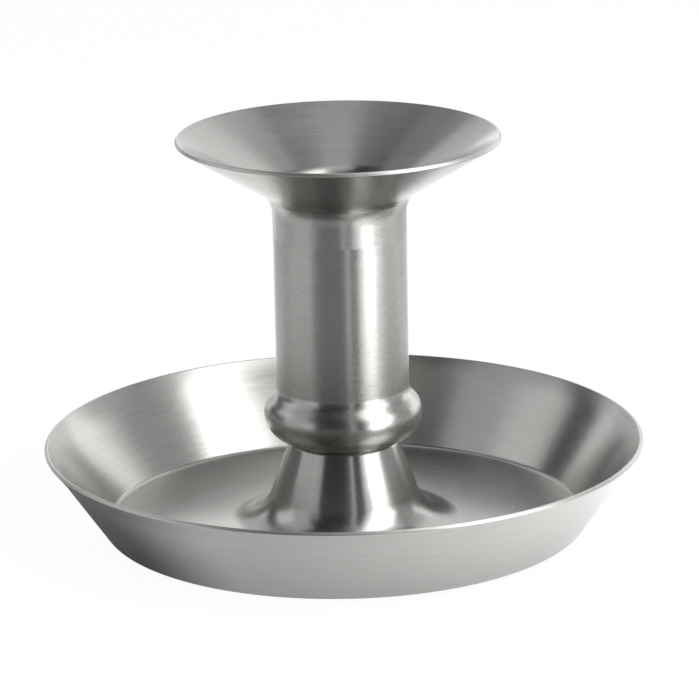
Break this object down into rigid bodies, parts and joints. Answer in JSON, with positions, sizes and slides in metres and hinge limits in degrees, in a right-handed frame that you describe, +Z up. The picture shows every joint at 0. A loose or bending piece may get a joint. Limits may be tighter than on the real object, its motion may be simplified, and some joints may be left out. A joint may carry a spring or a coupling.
{
  "type": "chamberstick",
  "caption": "Low candlestick with a wide flared drip pan, a short hollow stem with a rounded bead, and a wide wax funnel round the candle socket.",
  "frame": {"origin": "on the stem's axis, on the surface that the pads stand on", "axes": "+Z up along the stem's axis, -Y towards the viewer of the picture, +X to the viewer's right"},
  "size_m": [0.1098, 0.1098, 0.0734],
  "materials": {
    "brushed_steel": "satin, brushed round the axis",
    "pressed_steel": "plain pressed sheet",
    "fastener_steel": "bright",
    "pad_rubber": "matt"
  },
  "bodies": {
    "root": {"drip_pan": "brushed_steel", "stem_tube": "brushed_steel", "wax_funnel": "brushed_steel", "candle_seat": "pressed_steel", "stem_nut": "fastener_steel", "fixing_screw": "fastener_steel", "plain_washer": "fastener_steel", "lock_washer": "fastener_steel", "pad_front": "pad_rubber", "pad_rear_right": "pad_rubber", "pad_rear_left": "pad_rubber"}
  },
  "joints": []
}
